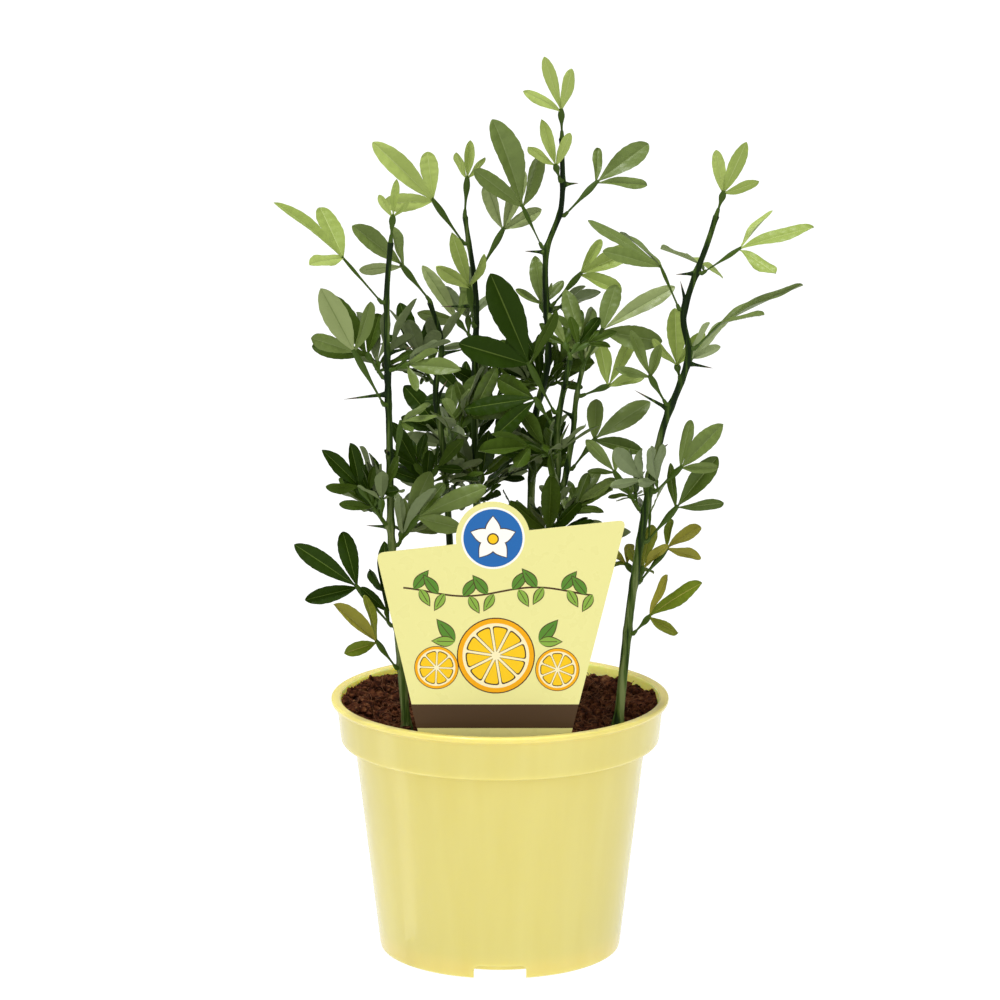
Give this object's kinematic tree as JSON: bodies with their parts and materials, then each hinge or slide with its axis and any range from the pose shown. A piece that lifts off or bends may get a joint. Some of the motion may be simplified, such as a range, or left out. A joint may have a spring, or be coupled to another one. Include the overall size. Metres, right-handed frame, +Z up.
{
  "type": "potted trifoliate orange",
  "caption": "Young thorny trifoliate orange with several upright stems in a round plastic nursery pot, with a blank-worded plant tag.",
  "frame": {"origin": "middle of the flat underside of the pot, on the surface that it stands on", "axes": "+Z up along the pot's axis, -Y towards the side that the tag faces, +X to the right seen from there"},
  "size_m": [0.2603, 0.17, 0.4496],
  "materials": {
    "pot_plastic": "smooth satin pale yellow moulded plastic",
    "tag_plastic": "smooth printed plastic card",
    "soil": "rough dark peat and coir",
    "bark": "smooth dark green young bark",
    "foliage_light": "soft young leaf",
    "foliage_middle": "satin leaf",
    "foliage_dark": "satin dark leaf",
    "foliage_turning": "yellowing leaf"
  },
  "bodies": {
    "root": {"pot": "pot_plastic", "tag": "tag_plastic", "soil": "soil", "stem_left": "bark", "stem_inner_left": "bark", "stem_middle": "bark", "stem_tall": "bark", "stem_inner_right": "bark", "stem_right": "bark", "bough": "bark", "spray_left_1": "foliage_light", "spray_left_2": "foliage_light", "spray_left_3": "foliage_dark", "spray_left_4": "foliage_middle", "spray_left_5": "foliage_middle", "spray_left_6": "foliage_middle", "spray_left_7": "foliage_dark", "spray_left_8": "foliage_middle", "spray_left_9": "foliage_dark", "spray_left_10": "foliage_turning", "spray_inner_left_1": "foliage_middle", "spray_inner_left_2": "foliage_dark", "spray_inner_left_3": "foliage_dark", "spray_inner_left_4": "foliage_middle", "spray_middle_1": "foliage_light", "spray_middle_2": "foliage_light", "spray_middle_3": "foliage_middle", "spray_middle_4": "foliage_light", "spray_middle_5": "foliage_middle", "spray_middle_6": "foliage_dark", "spray_middle_7": "foliage_dark", "spray_middle_8": "foliage_dark", "spray_tall_1": "foliage_light", "spray_tall_2": "foliage_light", "spray_tall_3": "foliage_middle", "spray_tall_4": "foliage_middle", "spray_tall_5": "foliage_light", "spray_tall_6": "foliage_middle", "spray_tall_7": "foliage_dark", "spray_tall_8": "foliage_dark", "spray_inner_right_1": "foliage_dark", "spray_inner_right_2": "foliage_dark", "spray_inner_right_3": "foliage_dark", "spray_inner_right_4": "foliage_dark", "spray_inner_right_5": "foliage_middle", "spray_inner_right_6": "foliage_dark", "spray_right_1": "foliage_light", "spray_right_2": "foliage_light", "spray_right_3": "foliage_middle", "spray_right_4": "foliage_middle", "spray_right_5": "foliage_middle", "spray_right_6": "foliage_light", "spray_right_7": "foliage_middle", "spray_right_8": "foliage_middle", "spray_right_9": "foliage_middle", "spray_right_10": "foliage_turning", "spray_right_11": "foliage_turning", "spray_bough_1": "foliage_middle", "spray_bough_2": "foliage_light", "spray_bough_3": "foliage_middle"}
  },
  "joints": []
}
